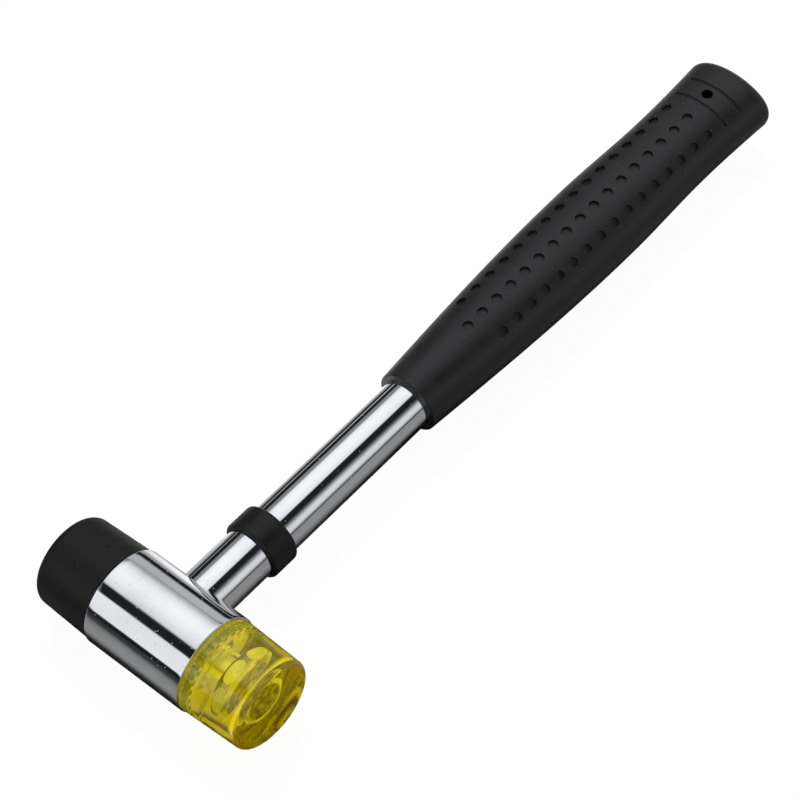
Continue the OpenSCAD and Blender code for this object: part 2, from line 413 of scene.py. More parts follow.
paleFloor = {
    "radius": 4.0, "corners": 64,
    "whiteGlow": 0.965, "whiteShade": 0.07, "whiteAway": (0.30, 1.0),
    "sheetX": (-0.205, 0.34), "sheetY": (-1.6, 0.26), "sheetSoft": 0.055,
    "sheetLevel": 0.25, "roomLevel": 0.04,
    # The pool is a painted pool of light beside the hammer
    "poolReach": (100 * mm, 18 * mm), "lightPoolLevel": 0.92, "headPoolShare": 0.35,
    "poolAhead": (32 * mm, 48 * mm), "poolY": (-2 * mm, 10 * mm),
    "headPoolAhead": (0 * mm, 8 * mm), "headPoolY": (-22 * mm, -8 * mm),
    # The shade is a painted shadow under the hammer
    "shadeReach": (34 * mm, 8 * mm), "shadeX": (20 * mm, -20 * mm), "shadeDepth": 0.75,
    # The patches are painted shadows on the floor before the clear face
    "shadowPatchReach": (34 * mm, 22 * mm),
    "mirrorShadowY": ((-70 * mm, -56 * mm), (-40 * mm, -43 * mm)), "mirrorShadowLevel": 0.02,
    "throughShadowY": ((-48 * mm, -45 * mm), (-39 * mm, -41 * mm)), "throughShadowLevel": 0.32,
    # For rays through the clear face: painted shade under the head, painted light beside it and in the
    # glint, and a painted shadow stripe
    "underShadeLevel": 0.58, "farY": (-46 * mm, -54 * mm), "farLevel": 0.82,
    "sideAhead": (12 * mm, 30 * mm), "sideLevel": 1.0,
    "glintY": ((-30 * mm, -29 * mm), (-26 * mm, -27 * mm)),
    "shadowStripeAhead": ((4.2 * mm, 5.8 * mm), (7.9 * mm, 7.0 * mm)),
    "shadowStripeY": ((-26.5 * mm, -25.5 * mm), (-14 * mm, -16 * mm)), "shadowStripeLevel": 0.08,
}


# White with a faint shadow, for the camera. Far away it is pure white, so that no horizon shows
def seenFloor(look, x, y):
    shadow = look.add("ShaderNodeBsdfDiffuse", None, {"Color": grey(paleFloor["whiteShade"])})
    away = look.ease(lengthOf(x, y), *paleFloor["whiteAway"])
    white = look.blendColours(away, grey(paleFloor["whiteGlow"]), grey(1))
    glow = look.add("ShaderNodeEmission", None, {"Color": white})
    return look.add("ShaderNodeAddShader", None, {0: shadow, 1: glow})


# A sheet for mirrored rays, with a painted pool of light beside the hammer, painted shade under it and a
# painted shadow before the clear face
def mirroredFloor(look, x, y):
    ahead = x - headCentre.x
    behind = (-1 * ahead).math("MAXIMUM", 0)
    beside = (y.math("ABSOLUTE") - cadBox[1][1]).math("MAXIMUM", 0)
    toHandleLine = lengthOf(behind, y)
    toHeadLine = lengthOf(ahead, beside)
    soft = paleFloor["sheetSoft"]
    sheet = look.band(x, *paleFloor["sheetX"], soft) * look.band(y, *paleFloor["sheetY"], soft)
    # Painted pool of light beside the hammer, on its lit side
    lightPool = look.ease(toHandleLine, *paleFloor["poolReach"])
    lightPool = lightPool * look.ease(y, *paleFloor["poolY"]) * look.ease(ahead, *paleFloor["poolAhead"])
    headLightPool = look.ease(toHeadLine, *paleFloor["poolReach"]) * paleFloor["headPoolShare"]
    headLightPool = headLightPool * look.ease(y, *paleFloor["headPoolY"])
    headLightPool = headLightPool * look.ease(ahead, *paleFloor["headPoolAhead"])
    lightPool = lightPool.math("MAXIMUM", headLightPool)
    # Painted shadow near the hammer, where no pool is, fading out along the grip
    shade = look.ease(toHandleLine.math("MINIMUM", toHeadLine), *paleFloor["shadeReach"])
    shade = shade * (1 - lightPool) * paleFloor["shadeDepth"] * look.ease(x, *paleFloor["shadeX"])
    # Painted shadow on the floor before the clear face
    shadowPatch = look.ease(ahead.math("ABSOLUTE"), *paleFloor["shadowPatchReach"])
    shadowPatch = shadowPatch * look.window(y, paleFloor["mirrorShadowY"])
    tone = look.blendColours(lightPool, grey(paleFloor["sheetLevel"]), grey(paleFloor["lightPoolLevel"]))
    tone = look.blendColours(shade, tone, grey(0))
    tone = look.blendColours(sheet, grey(paleFloor["roomLevel"]), tone)
    tone = look.blendColours(shadowPatch, tone, grey(paleFloor["mirrorShadowLevel"]))
    return look.add("ShaderNodeBsdfDiffuse", None, {"Color": tone})


# For rays through the clear face, a glowing floor of painted light and shade: bright beside the head and in
# a painted glint, painted shade under the head, a painted shadow stripe and a painted shadow before the
# face
def floorThroughFace(look, x, y):
    ahead = x - headCentre.x
    # Painted light beside the head, and a painted glint
    side = look.ease(ahead, *paleFloor["sideAhead"])
    side = side.math("MAXIMUM", look.window(y, paleFloor["glintY"]))
    # Painted shadow stripe
    shadowStripe = look.window(ahead, paleFloor["shadowStripeAhead"]) * look.window(y, paleFloor["shadowStripeY"])
    # Painted shadow on the floor before the clear face
    shadowPatch = look.ease(ahead.math("ABSOLUTE"), *paleFloor["shadowPatchReach"])
    shadowPatch = shadowPatch * look.window(y, paleFloor["throughShadowY"])
    # Painted shade under the head, lighter far before the face
    tone = grey(paleFloor["underShadeLevel"])
    tone = look.blendColours(look.ease(y, *paleFloor["farY"]), tone, grey(paleFloor["farLevel"]))
    tone = look.blendColours(side, tone, grey(paleFloor["sideLevel"]))
    tone = look.blendColours(shadowStripe, tone, grey(paleFloor["shadowStripeLevel"]))
    tone = look.blendColours(shadowPatch, tone, grey(paleFloor["throughShadowLevel"]))
    return look.add("ShaderNodeEmission", None, {"Color": tone})


def buildFloor():
    dropSelection()
    bpy.ops.mesh.primitive_circle_add(vertices=paleFloor["corners"], radius=paleFloor["radius"],
                                      fill_type="NGON", location=(0, 0, cadBox[0][2]))
    disc = bpy.context.object
    disc.name = "floor"
    material, look = newFinish("paleFloor")
    x, y = look.split(look.place())[:2]
    unseen = look.add("ShaderNodeMixShader", None, {
        0: look.ray("Transmission"), 1: mirroredFloor(look, x, y), 2: floorThroughFace(look, x, y)})
    shader = look.add("ShaderNodeMixShader", None, {
        0: look.ray("Camera"), 1: unseen, 2: seenFloor(look, x, y)})
    look.close("ShaderNodeOutputMaterial", shader)
    disc.data.materials.append(material)


keyLight = {"power": 26.0, "size": 0.45, "place": (0.50, 0.55, 1.25)}


# Mirrors and the clear face don't show the lamp, because the softbox is drawn in the world
def addKeyLight():
    data = bpy.data.lights.new("softbox", "AREA")
    data.energy = keyLight["power"]
    data.size = keyLight["size"]
    lamp = bpy.data.objects.new("softbox", data)
    lamp.location = keyLight["place"]
    lamp.rotation_euler = Vector(keyLight["place"]).to_track_quat("Z", "Y").to_euler()
    lamp.visible_glossy = False
    lamp.visible_transmission = False
    lamp.visible_camera = False
    bpy.context.scene.collection.objects.link(lamp)


# Finishes. A range is the part of a pattern's values that is eased from 0 to 1

chrome = {
    "colour": (0.86, 0.87, 0.89, 1), "roughness": 0.035,
    "hazeColour": (0.80, 0.81, 0.83, 1), "hazeRoughness": 0.05, "hazeScale": 70, "hazeRange": (0.40, 0.75),
    "waveScale": 160, "waveHeight": 0.008 * mm,
    "pitScale": 1100, "pitRange": (0.18, 0.072), "pitDepth": 0.03 * mm, "pitRoughness": 0.2,
    "groupScale": 420, "groupFrom": 0.62, "groupSoft": 0.05, "headMore": 0.07, "headReach": 40 * mm,
}


# Chrome plate with haze, slow waves and groups of small pits, which are more common on the barrel
def chromeFinish():
    material, look = newFinish("chromePlate")
    place = look.place()
    haze = look.ease(look.noise(place, chrome["hazeScale"], detail=4), *chrome["hazeRange"])
    onHead = look.slope(look.split(place)[0], headCentre.x, (chrome["headReach"], barrelRadius))
    groupFrom = chrome["groupFrom"] - chrome["headMore"] * onHead
    group = look.noise(place, chrome["groupScale"], detail=1)
    group = look.ease(group, groupFrom, groupFrom + chrome["groupSoft"])
    pit = look.ease(look.cells(place, chrome["pitScale"]), *chrome["pitRange"]) * group
    wave = look.bump(look.noise(place, chrome["waveScale"], detail=1), chrome["waveHeight"])
    relief = look.bump(1 - pit, chrome["pitDepth"], wave)
    colour = look.blendColours(haze, chrome["colour"], chrome["hazeColour"])
    roughness = chrome["roughness"] + chrome["hazeRoughness"] * haze + chrome["pitRoughness"] * pit
    shader = look.add("ShaderNodeBsdfPrincipled", None, {
        "Base Color": colour, "Metallic": 1.0, "Roughness": roughness, "Normal": relief})
    look.close("ShaderNodeOutputMaterial", shader)
    return material


# What the three rubbers share. Each has its own colours and scales beside its piece

moulding = {
    "cloudRange": (0.35, 0.70), "rubRange": (0.60, 0.80),
    "speckRange": (0.10, 0.05), "speckGroups": 0.31, "speckChosen": (0.66, 0.70),
    "sheenRoughness": 0.5,
}


# Black moulded rubber: cloudy tone, fine grain, a few dust specks and rubbed patches
def rubberFinish(name, rubber):
    material, look = newFinish(name)
    place = look.place()
    cloud = look.noise(place, rubber["cloudScale"], detail=4, rough=0.6)
    cloud = look.ease(cloud, *moulding["cloudRange"])
    rubbed = look.stretched(place, rubber["rubStretch"])
    rub = look.ease(look.noise(rubbed, rubber["rubScale"], detail=3, rough=0.55), *moulding["rubRange"])
    chosen = look.noise(place, rubber["speckScale"] * moulding["speckGroups"], detail=0)
    speck = look.ease(look.cells(place, rubber["speckScale"]), *moulding["speckRange"])
    speck = speck * look.ease(chosen, *moulding["speckChosen"])
    colour = look.blendColours(cloud, rubber["dark"], rubber["light"])
    colour = look.blendColours(rub * rubber["rubShare"], colour, rubber["rubColour"])
    colour = look.blendColours(speck, colour, rubber["speckColour"])
    roughness = rubber["roughness"] + rubber["roughRange"] * cloud - rubber["rubShine"] * rub
    swell = look.bump(look.noise(place, rubber["swellScale"], detail=2), rubber["swellHeight"])
    grain = look.noise(place, rubber["grainScale"], detail=3, rough=0.6)
    relief = look.bump(grain, rubber["grainHeight"], swell)
    shader = look.add("ShaderNodeBsdfPrincipled", None, {
        "Base Color": colour, "Roughness": roughness, "Normal": relief,
        "Specular IOR Level": rubber["gloss"], "Sheen Weight": rubber["sheen"],
        "Sheen Roughness": moulding["sheenRoughness"]})
    look.close("ShaderNodeOutputMaterial", shader)
    return material


# The pairs in millimetres are slopes, counted from the edge that they soften

steel = {
    "bright": (0.90, 0.89, 0.86, 1), "dull": (0.74, 0.73, 0.70, 1),
    "cloudScale": 420, "cloudRange": (0.35, 0.68),
    "turnedColour": (0.44, 0.43, 0.36, 1), "turnedSpan": (-0.04 * mm, -0.10 * mm),
    "turnedFoot": (-0.1 * mm, 0 * mm), "turnedTop": (-1.1 * mm, -1.7 * mm),
    "washerToHeadColour": (0.94, 0.93, 0.90, 1), "washerToHeadRim": (-1.4 * mm, -1.8 * mm),
    "washerToHeadFoot": (-0.1 * mm, -0.05 * mm), "washerToHeadTop": (0.05 * mm, 0.02 * mm),
    "toothColour": (0.62, 0.62, 0.66, 1),
    "toothRim": (-1.4 * mm, -1.1 * mm), "toothTop": (0.1 * mm, 0.05 * mm),
    "dishDark": (0.30, 0.29, 0.25, 1), "dishLight": (0.84, 0.83, 0.78, 1), "dishRoughness": 0.2,
    "dishRim": (0.1 * mm, -0.1 * mm), "dishFloor": (-0.7 * mm, -0.65 * mm),
    "swirlScale": 520, "swirlRange": (0.35, 0.65), "swirlHeight": 0.06 * mm,
    "roughness": 0.16, "fineRoughness": 0.10, "fineScale": 2600, "turnScale": 900, "turnHeight": 0.004 * mm,
}


# Distances from the head's axis across x and z, and height above the nearer end of the barrel
def headSpot(look, place):
    x, y, z = look.split(place)
    return x - headCentre.x, z - headCentre.z, (y - headCentre.y).math("ABSOLUTE") - barrelEnd


# Half the width across the flats of the hexagon that a point lies on, as the clear face's bolt is turned
def hexSpan(x, z):
    span = None
    for i in range(3):
        angle = bolt["turn"][-1] + (i + 0.5) * math.pi / 3
        width = (x * math.cos(angle) + z * math.sin(angle)).math("ABSOLUTE")
        span = width if span is None else span.math("MAXIMUM", width)
    return span


# Plated steel. The bolts' dishes are swirled and dark, their turned sides between the flats are darker,
# the washers' teeth are greyer, and what lies between washer and head is lighter
def steelFinish():
    material, look = newFinish("platedSteel")
    place = look.place()
    x, z, height = headSpot(look, place)
    radius = lengthOf(x, z)
    headLow, headTop = bolt["headLow"], bolt["headLow"] + bolt["headHeight"]
    turned = look.slope(hexSpan(x, z), bolt["flats"] / 2, steel["turnedSpan"])
    turned = turned * look.slope(height, headLow, steel["turnedFoot"])
    turned = turned * look.slope(height, headTop, steel["turnedTop"])
    # What lies between washer and head is given a lighter colour
    washerToHead = look.slope(radius, washer["radius"], steel["washerToHeadRim"])
    washerToHead = washerToHead * look.slope(height, washer["thickness"], steel["washerToHeadFoot"])
    washerToHead = washerToHead * look.slope(height, headLow, steel["washerToHeadTop"])
    teeth = look.slope(radius, washer["radius"], steel["toothRim"])
    teeth = teeth * look.slope(height, washer["thickness"], steel["toothTop"])
    dish = look.slope(radius, bolt["dishRadius"], steel["dishRim"])
    dish = dish * look.slope(height, headTop, steel["dishFloor"])
    cloud = look.ease(look.noise(place, steel["cloudScale"], detail=4, rough=0.6), *steel["cloudRange"])
    swirl = look.ease(look.noise(place, steel["swirlScale"], detail=3, rough=0.6), *steel["swirlRange"])
    swirled = look.blendColours(swirl, steel["dishDark"], steel["dishLight"])
    colour = look.blendColours(cloud, steel["bright"], steel["dull"])
    colour = look.blendColours(turned, colour, steel["turnedColour"])
    colour = look.blendColours(washerToHead, colour, steel["washerToHeadColour"])
    colour = look.blendColours(teeth, colour, steel["toothColour"])
    colour = look.blendColours(dish, colour, swirled)
    fine = look.noise(place, steel["fineScale"], detail=2)
    roughness = steel["roughness"] + steel["fineRoughness"] * fine + steel["dishRoughness"] * dish
    relief = look.bump(look.noise(place, steel["turnScale"], detail=3), steel["turnHeight"])
    relief = look.bump(swirl * dish, steel["swirlHeight"], relief)
    shader = look.add("ShaderNodeBsdfPrincipled", None, {
        "Base Color": colour, "Metallic": 1.0, "Roughness": roughness, "Normal": relief})
    look.close("ShaderNodeOutputMaterial", shader)
    return material


clearPlastic = {
    "colour": (0.95, 0.94, 0.12, 1), "roughness": 0.02, "clearness": 0.95, "ior": 1.47,
    "depthColour": (0.95, 0.882, 0.02, 1), "depth": 110.0, "glowColour": (1.0, 0.76, 0.01, 1), "glow": 1.9,
    "flowScale": 260, "flowHeight": 0.02 * mm,
    "scuffStretch": (1, 3, 1), "scuffScale": 900, "scuffRange": (0.60, 0.80), "scuffRoughness": 0.05,
    "frostRoughness": 0.38, "frostOuter": (0.3 * mm, 0.1 * mm), "frostInner": (-0.8 * mm, -0.4 * mm),
    "frostDepth": (0.3 * mm, 0.1 * mm), "frostBase": (0.06 * mm, 0.03 * mm),
}


# Clear yellow plastic that absorbs with depth, frosted on the recess's wall and on the base, and glowing
# from within as painted light
def clearFinish():
    material, look = newFinish("clearYellowPlastic")
    place = look.place()
    x, z, height = headSpot(look, place)
    radius = lengthOf(x, z)
    scuff = look.stretched(place, clearPlastic["scuffStretch"])
    scuff = look.noise(scuff, clearPlastic["scuffScale"], detail=4, rough=0.6)
    scuff = look.ease(scuff, *clearPlastic["scuffRange"])
    frost = look.slope(radius, face["recessRadius"], clearPlastic["frostOuter"])
    frost = frost * look.slope(radius, face["recessRadius"], clearPlastic["frostInner"])
    frost = frost * look.slope(height, face["recessDepth"], clearPlastic["frostDepth"])
    frost = frost.math("MAXIMUM", look.slope(height, face["gap"], clearPlastic["frostBase"]))
    roughness = clearPlastic["roughness"] + clearPlastic["scuffRoughness"] * scuff
    roughness = roughness + clearPlastic["frostRoughness"] * frost
    relief = look.bump(look.noise(place, clearPlastic["flowScale"], detail=2), clearPlastic["flowHeight"])
    shader = look.add("ShaderNodeBsdfPrincipled", None, {
        "Base Color": clearPlastic["colour"], "Roughness": roughness, "IOR": clearPlastic["ior"],
        "Transmission Weight": clearPlastic["clearness"], "Normal": relief})
    depth = look.add("ShaderNodeVolumeAbsorption", None, {
        "Color": clearPlastic["depthColour"], "Density": clearPlastic["depth"]})
    # Painted light: the volume glows, so the plastic looks lit from within
    glow = look.add("ShaderNodeEmission", None, {
        "Color": clearPlastic["glowColour"], "Strength": clearPlastic["glow"]})
    volume = look.add("ShaderNodeAddShader", None, {0: depth, 1: glow})
    look.close("ShaderNodeOutputMaterial", shader, volume)
    return material


# Barrel

barrel = {
    "rim": 0.35 * mm, "holeRadius": 4.05 * mm, "holeChamfer": 0.5 * mm,
    "tubeFit": 0.02 * mm, "drillReach": 1.5, "steps": 192, "rings": 26, "sharp": 32,
}


def buildBarrel(finish):
    rim, hole, chamfer = barrel["rim"], barrel["holeRadius"], barrel["holeChamfer"]
    outline = [(hole, -barrelEnd + chamfer), (hole + chamfer, -barrelEnd)]
    outline += arc((barrelRadius - rim, -barrelEnd + rim), rim, -quarterTurn)
    outline += stretch(-barrelEnd + rim, barrelEnd - rim, barrel["rings"], lambda height: barrelRadius)
    outline += arc((barrelRadius - rim, barrelEnd - rim), rim, 0)
    outline += [(hole + chamfer, barrelEnd), (hole, barrelEnd - chamfer), (hole, -barrelEnd + chamfer)]
    piece = spinOutline("chrome_barrel", outline, barrel["steps"])
    seat(piece, Matrix.Translation(headCentre) @ Matrix.Rotation(-quarterTurn, 4, "X"))
    bottom, top = tubeLow.x - headCentre.x, barrelRadius * barrel["drillReach"]
    drill = drillBit(tubeRadius + barrel["tubeFit"], bottom, top, barrel["steps"])
    seat(drill, toHandle)
    combine(piece, drill, "DIFFERENCE")
    dress(piece, finish, "hammer", "head_barrel", barrel["sharp"])


# Tube

tube = {"wall": 1.2 * mm, "edge": 0.25 * mm, "steps": 192, "sharp": 32}


def buildTube(finish):
    outer, inner, edge = tubeRadius, tubeRadius - tube["wall"], tube["edge"]
    low, high = tubeLow.x - headCentre.x, tubeHigh.x - headCentre.x
    outline = [(inner, low), (outer - edge, low), (outer, low + edge), (outer, high - edge),
               (outer - edge, high), (inner, high), (inner, low)]
    piece = spinOutline("chrome_tube", outline, tube["steps"])
    seat(piece, toHandle)
    dress(piece, finish, "hammer", "handle_tube", tube["sharp"])


# Collar

collar = {"clearance": 0.05 * mm, "edge": 1.1 * mm, "innerEdge": 0.35 * mm, "steps": 144, "sharp": 50}
collarRubber = {
    "dark": (0.0030, 0.0025, 0.0024, 1), "light": (0.0064, 0.0055, 0.0053, 1), "cloudScale": 260,
    "grainScale": 3200, "grainHeight": 0.010 * mm, "swellScale": 300, "swellHeight": 0.05 * mm,
    "rubStretch": (1, 1, 1), "rubScale": 160, "rubShare": 0.4, "rubColour": (0.018, 0.016, 0.015, 1),
    "rubShine": 0.06, "speckScale": 900, "speckColour": (0.10, 0.10, 0.10, 1),
    "roughness": 0.44, "roughRange": 0.10, "gloss": 0.38, "sheen": 0.0,
}


def buildCollar(finish):
    outer = (collarHigh.z - collarLow.z) / 2
    inner = tubeRadius + collar["clearance"]
    low, high = collarLow.x - headCentre.x, collarHigh.x - headCentre.x
    edge, innerEdge = collar["edge"], collar["innerEdge"]
    outline = arc((inner + innerEdge, low + innerEdge), innerEdge, math.pi)
    outline += arc((outer - edge, low + edge), edge, -quarterTurn)
    outline += arc((outer - edge, high - edge), edge, 0)
    outline += arc((inner + innerEdge, high - innerEdge), innerEdge, quarterTurn)
    outline += [outline[0]]
    piece = spinOutline("rubber_collar", outline, collar["steps"])
    seat(piece, toHandle)
    dress(piece, finish, "collar", "tube_collar", collar["sharp"])


# Grip

grip = {
    "turn": math.radians(5),
    "mouthWidth": 19.9 * mm, "mouthHeight": 19.9 * mm, "lip": 0.4 * mm, "innerLip": 0.16 * mm,
    "bellyWidth": 28.7 * mm, "bellyHeight": 20.8 * mm, "bellyAt": 84.7 * mm,
    "neckWidth": 26.9 * mm, "neckHeight": 19.4 * mm, "neckAt": 120.7 * mm,
    "buttWidth": 29.3 * mm, "buttHeight": 18.4 * mm, "buttRound": 3.8 * mm,
    "buttSteps": 12, "buttRings": (0.5, 0.25, 0), "steps": 160, "rings": 110, "sharp": 40,
    "pitRadius": 1.6 * mm, "pitDepth": 1.0 * mm, "pitRim": 0.12 * mm, "pitFloor": 0.2 * mm,
    "pitPitch": 6.3 * mm, "pitFirst": 26.1 * mm, "pitCount": 17, "pitSteps": 24,
    "rowOffset": 7.85 * mm, "rowLean": math.radians(34), "clear": 1.0 * mm, "rimSteps": 4,
    "holeRadius": 1.75 * mm, "holeInset": 14.0 * mm, "holeSide": 1.3 * mm, "holeRim": 0.2 * mm,
    "holeSteps": 32,
    "grooveInset": 14.4 * mm, "grooveSpacing": 7.4 * mm, "grooveWidth": 1.0 * mm,
    "grooveAcross": 19.0 * mm, "grooveDepth": 0.5 * mm, "grooveRim": 0.1 * mm, "grooveSteps": 40,
}
gripRubber = {
    "dark": (0.0053, 0.0050, 0.0057, 1), "light": (0.0083, 0.0079, 0.0086, 1), "cloudScale": 190,
    "grainScale": 2600, "grainHeight": 0.012 * mm, "swellScale": 120, "swellHeight": 0.10 * mm,
    "rubStretch": (0.5, 1, 1), "rubScale": 90, "rubShare": 0.35, "rubColour": (0.016, 0.0155, 0.015, 1),
    "rubShine": 0.05, "speckScale": 700, "speckColour": (0.16, 0.16, 0.15, 1),
    "roughness": 0.42, "roughRange": 0.08, "gloss": 0.5, "sheen": 0.03,
}
gripLength = gripHigh.x - gripLow.x


# The grip swells from its mouth, draws in to a neck and flares at the butt. side is Width or Height
def gripHalf(side, u):
    mouth, belly, neck, butt = (grip[part + side] / 2 for part in ("mouth", "belly", "neck", "butt"))
    if u < grip["bellyAt"]:
        return mouth + (belly - mouth) * math.sin(quarterTurn * u / grip["bellyAt"])
    if u < grip["neckAt"]:
        share = (u - grip["bellyAt"]) / (grip["neckAt"] - grip["bellyAt"])
        return (belly + neck + (belly - neck) * math.cos(math.pi * share)) / 2
    share = (u - grip["neckAt"]) / (gripLength - grip["neckAt"])
    return neck + (butt - neck) * (1 - math.cos(quarterTurn * share))


def gripRadius(u):
    return gripHalf("Width", u)


# Height of the grip's skin above its middle, at a distance to the side
def skinHeight(u, across):
    return gripHalf("Height", u) * math.sqrt(1 - (across / gripRadius(u)) ** 2)


# A spun piece of the grip is squeezed from round to oval and keeps its distance from the skin.
# The round bore stays, and what lies deeper than the edge rounding is squeezed evenly
def squeeze(piece, keptRadius=0.0, keptEnd=0.0):
    for vertex in piece.data.vertices:
        radius = math.hypot(vertex.co.x, vertex.co.y)
        u = min(max(vertex.co.z, 0), gripLength)
        if radius > keptRadius or u > keptEnd:
            wide, high = gripHalf("Width", u), gripHalf("Height", u)
            inset = min(wide - radius, grip["buttRound"])
            vertex.co.x *= (high - inset) / (wide - inset)


def gripBody():
    lip, innerLip, butt = grip["lip"], grip["innerLip"], grip["buttRound"]
    bore, boreEnd = tubeRadius, tubeHigh.x - gripLow.x
    swellEnd = gripLength - butt
    outline = [(0, boreEnd), (bore, boreEnd)]
    outline += arc((bore + innerLip, innerLip), innerLip, math.pi)
    outline += arc((gripRadius(lip) - lip, lip), lip, -quarterTurn)
    outline += stretch(lip, swellEnd, grip["rings"], gripRadius)
    outline += arc((gripRadius(swellEnd) - butt, swellEnd), butt, 0, grip["buttSteps"])
    outline += [(gripRadius(swellEnd) * share, gripLength) for share in grip["buttRings"]]
    piece = spinOutline("rubber_grip", outline, grip["steps"])
    squeeze(piece, bore + mergeGap, boreEnd + mergeGap)
    return piece


# Rounded rim of a hole's cutter, from its wall up to its mouth
def cutterRim(radius, rim, mouth):
    return list(reversed(arc((radius + rim, mouth - rim), rim, quarterTurn, grip["rimSteps"])))


# Cutter for one pit, with its mouth at zero height
def pitCutter():
    radius, depth, rim, floor = (grip[key] for key in ("pitRadius", "pitDepth", "pitRim", "pitFloor"))
    outline = [(0, -depth)]
    outline += arc((radius - floor, -depth + floor), floor, -quarterTurn, grip["rimSteps"])
    outline += cutterRim(radius, rim, 0)
    outline += [(radius + rim, grip["clear"]), (0, grip["clear"])]
    return spinOutline("pit", outline, grip["pitSteps"])


# Cutter for a groove that crosses the grip's top
def grooveCutter(u):
    half, depth, rim = grip["grooveWidth"] / 2, grip["grooveDepth"], grip["grooveRim"]
    skin = gripRadius(u)
    right = [(skin - depth, half - rim), (skin - depth + rim, half), (skin - rim, half),
             (skin, half + rim), (skin + grip["clear"], half + rim)]
    left = [(radius, -away) for radius, away in reversed(right)]
    piece = drawOutline("groove", [(radius, u + away) for radius, away in right + left])
    bpy.ops.mesh.edge_face_add()
    span = 2 * math.asin(grip["grooveAcross"] / 2 / skin)
    bpy.ops.mesh.spin(steps=grip["grooveSteps"], angle=span, center=(0, 0, 0), axis=(0, 0, 1))
    cleanMesh()
    middle = sum((vertex.co for vertex in piece.data.vertices), Vector())
    piece.data.transform(Matrix.Rotation(math.pi - math.atan2(middle.y, middle.x), 4, "Z"))
    squeeze(piece)
    piece.data.transform(Matrix.Rotation(quarterTurn, 4, "Y"))
    return piece


# Place and lean of a pit in the grip's own frame, where x runs along the grip and z is its height
def pitSpot(u, row):
    across = row * grip["rowOffset"]
    lean = Matrix.Rotation(row * grip["rowLean"], 4, "X")
    return Matrix.Translation((u, -across, skinHeight(u, across))) @ lean


# All pits and grooves, on both broad sides
def gripCutters():
    pit = pitCutter()
    middle = gripLength - grip["grooveInset"]
    grooves = [grooveCutter(middle + side * grip["grooveSpacing"] / 2) for side in (-1, 1)]
    cutters = []
    for half in (0, math.pi):
        turn = Matrix.Rotation(half, 4, "X")
        for row in (-1, 0, 1):
            for i in range(abs(row), grip["pitCount"]):
                u = grip["pitFirst"] + i * grip["pitPitch"]
                cutters.append(copyPiece(pit, "pit", turn @ pitSpot(u, row)))
        cutters += [copyPiece(groove, "groove", turn) for groove in grooves]
    for piece in [pit] + grooves:
        bpy.data.objects.remove(piece)
    return joinPieces(cutters)


# Cutter for the hang hole, with a rounded mouth at both ends
def holeCutter():
    holeAt = gripLength - grip["holeInset"]
    radius, rim = grip["holeRadius"], grip["holeRim"]
    mouth = skinHeight(holeAt, grip["holeSide"])
    top = mouth + grip["clear"]
    upper = cutterRim(radius, rim, mouth) + [(radius + rim, top), (0, top)]
    outline = [(r, -height) for r, height in reversed(upper)] + upper
    piece = spinOutline("hangHole", outline, grip["holeSteps"])
    piece.data.transform(Matrix.Translation((holeAt, grip["holeSide"], 0)))
    return piece


def buildGrip(finish):
    piece = gripBody()
    seat(piece, Matrix.Rotation(quarterTurn, 4, "Y"))
    combine(piece, gripCutters(), "DIFFERENCE")
    combine(piece, holeCutter(), "DIFFERENCE")
    mouth = Matrix.Translation((gripLow.x, headCentre.y, headCentre.z))
    seat(piece, mouth @ Matrix.Rotation(grip["turn"], 4, "X"))
    dress(piece, finish, "hammer", "grip", grip["sharp"])


# Bolts, washers and faces, drawn along +Z with zero at the barrel's end

bolt = {
    "radius": 4.0 * mm, "rootRadius": 3.38 * mm, "pitch": 1.25 * mm, "threadSteps": 48,
    "rootShare": 0.12, "crestShare": 0.44, "threadLead": 1.5, "threadTop": 1.6 * mm,
    "tip": -8.8 * mm, "tipBevel": 1.0 * mm, "tipLean": 1.6, "tipRoom": 1.1,
    "headLow": 7.2 * mm, "headHeight": 5.2 * mm, "flats": 14.0 * mm, "neckShare": 0.25,
    "waist": 7.65 * mm, "bulge": 1.85 * mm, "bulgePower": 3, "headRings": 16,
    "dishRadius": 5.5 * mm, "dishDepth": 0.6 * mm,
    "turn": {-1: math.radians(11), 1: 0.0},
    "inset": 0.04 * mm, "steps": 96, "sharp": 12,
}
boltCorner = bolt["flats"] / 2 / math.cos(math.pi / 6)
neckTop = bolt["headLow"] + bolt["headHeight"] * bolt["neckShare"]  # the neck ends inside the head


# Threaded length: one pitch of the thread's outline, screwed up and cut square at both ends
def threadedShank():
    pitch, root, crest = bolt["pitch"], bolt["rootRadius"], bolt["radius"]
    low, high = bolt["tip"], bolt["threadTop"]
    start = low - bolt["threadLead"] * pitch
    rootShare, crestShare = bolt["rootShare"], bolt["crestShare"]
    shares = [(root, 0), (root, rootShare), (crest, crestShare),
              (crest, 1 - crestShare), (root, 1 - rootShare), (root, 1)]
    piece = drawOutline("shank", [(radius, start + share * pitch) for radius, share in shares])
    bpy.ops.object.mode_set(mode="OBJECT")
    screw = piece.modifiers.new("thread", "SCREW")
    screw.screw_offset = pitch
    screw.iterations = math.ceil((high - start) / pitch) + 1
    screw.steps = screw.render_steps = bolt["threadSteps"]
    screw.use_merge_vertices = True
    screw.merge_threshold = mergeGap
    pick(piece)
    bpy.ops.object.modifier_apply(modifier="thread")
    for height, keepsAbove in ((low, True), (high, False)):
        bpy.ops.object.mode_set(mode="EDIT")
        bpy.ops.mesh.select_all(action="SELECT")
        bpy.ops.mesh.bisect(plane_co=(0, 0, height), plane_no=(0, 0, 1), use_fill=True,
                            clear_inner=keepsAbove, clear_outer=not keepsAbove)
        cleanMesh()

    # A bevelled shell takes the thread's sharp start off the tip
    bevel, wide, top = bolt["tipBevel"], crest * bolt["tipRoom"], high + pitch
    outline = [(0, low - bevel), (root - bevel, low - bevel), (root - bevel, low),
               (wide, low + bevel * bolt["tipLean"]), (wide, top), (0, top)]
    combine(piece, spinOutline("shell", outline, bolt["steps"]), "INTERSECT")
    return piece


